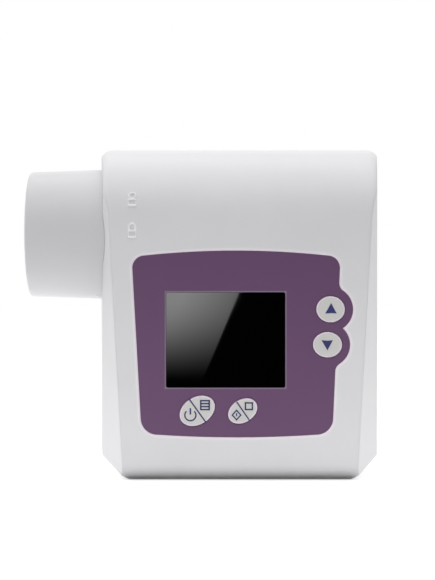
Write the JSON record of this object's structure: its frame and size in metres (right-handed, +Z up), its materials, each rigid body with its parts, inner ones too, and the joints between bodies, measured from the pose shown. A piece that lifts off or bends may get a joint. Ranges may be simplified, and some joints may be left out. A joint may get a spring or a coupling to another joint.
{
  "type": "spirometer",
  "caption": "Hand-held turbine spirometer: casing with barrel top, twist-in turbine and mouth tube, display window and oval keys.",
  "frame": {"origin": "under the middle of the whole object's box, on the flat base", "axes": "+X to the exhaust side, away from the mouth tube; -Y out of the front panel; +Z up"},
  "size_m": [0.0958, 0.0424, 0.089],
  "materials": {
    "casing_abs": "white moulded, satin gloss",
    "tube_abs": "white moulded, satin gloss",
    "liner_abs": "white moulded, matte",
    "panel_print": "mauve print under clear polycarbonate",
    "window_lens": "dark polished acrylic",
    "key_plastic": "light grey moulded",
    "switch_plastic": "black moulded",
    "screw_steel": "zinc plated",
    "circuit_board": "green solder mask",
    "display_holder": "black moulded",
    "display_glass": "dark glass, display off",
    "socket_metal": "bright tin plate",
    "battery_foil": "aluminium pouch foil",
    "clear_tube": "clear moulded, slightly smoky",
    "lamp_resin": "dark infrared-passing resin",
    "swirler_plastic": "white moulded",
    "bearing_stone": "red polished bearing stone",
    "shaft_steel": "hardened steel",
    "vane_plastic": "thin black moulded"
  },
  "bodies": {
    "casing": {"front_shell": "casing_abs", "rear_shell": "casing_abs", "front_overlay": "panel_print", "screen_window": "window_lens", "housing_screws": "screw_steel", "main_board": "circuit_board", "board_screws": "screw_steel", "display_frame": "display_holder", "display_panel": "display_glass", "key_switches": "switch_plastic", "main_chip": "switch_plastic", "buzzer": "switch_plastic", "usb_socket": "socket_metal", "battery": "battery_foil", "turbine_socket": "liner_abs", "sensor_carrier": "display_holder", "ir_emitter": "lamp_resin", "ir_detector": "lamp_resin"},
    "turbine": {"mouth_tube": "tube_abs", "rotor_chamber": "clear_tube", "inlet_swirler": "swirler_plastic", "outlet_swirler": "swirler_plastic", "inlet_bearing": "bearing_stone", "outlet_bearing": "bearing_stone", "retaining_ring": "shaft_steel"},
    "rotor": {"rotor_shaft": "shaft_steel", "rotor_vane": "vane_plastic"},
    "power_button": {"power_key": "key_plastic", "power_plunger": "switch_plastic"},
    "start_button": {"start_key": "key_plastic", "start_plunger": "switch_plastic"},
    "up_button": {"up_key": "key_plastic", "up_plunger": "switch_plastic"},
    "down_button": {"down_key": "key_plastic", "down_plunger": "switch_plastic"}
  },
  "joints": [
    {"name": "turbine_twist", "type": "hinge", "parent": "casing", "child": "turbine", "pos_m": [0, 0, 0.0658], "axis": [-1, 0, 0], "range_deg": [0, 22.5]},
    {"name": "rotor_spin", "type": "hinge", "parent": "turbine", "child": "rotor", "pos_m": [0.0075, 0, 0.0658], "axis": [1, 0, 0], "continuous": true},
    {"name": "power_press", "type": "slide", "parent": "casing", "child": "power_button", "axis": [0, 1, 0], "range_m": [0, 0.0003], "stiffness_N_per_m": 2000},
    {"name": "start_press", "type": "slide", "parent": "casing", "child": "start_button", "axis": [0, 1, 0], "range_m": [0, 0.0003], "stiffness_N_per_m": 2000},
    {"name": "up_press", "type": "slide", "parent": "casing", "child": "up_button", "axis": [0, 1, 0], "range_m": [0, 0.0003], "stiffness_N_per_m": 2000},
    {"name": "down_press", "type": "slide", "parent": "casing", "child": "down_button", "axis": [0, 1, 0], "range_m": [0, 0.0003], "stiffness_N_per_m": 2000}
  ]
}
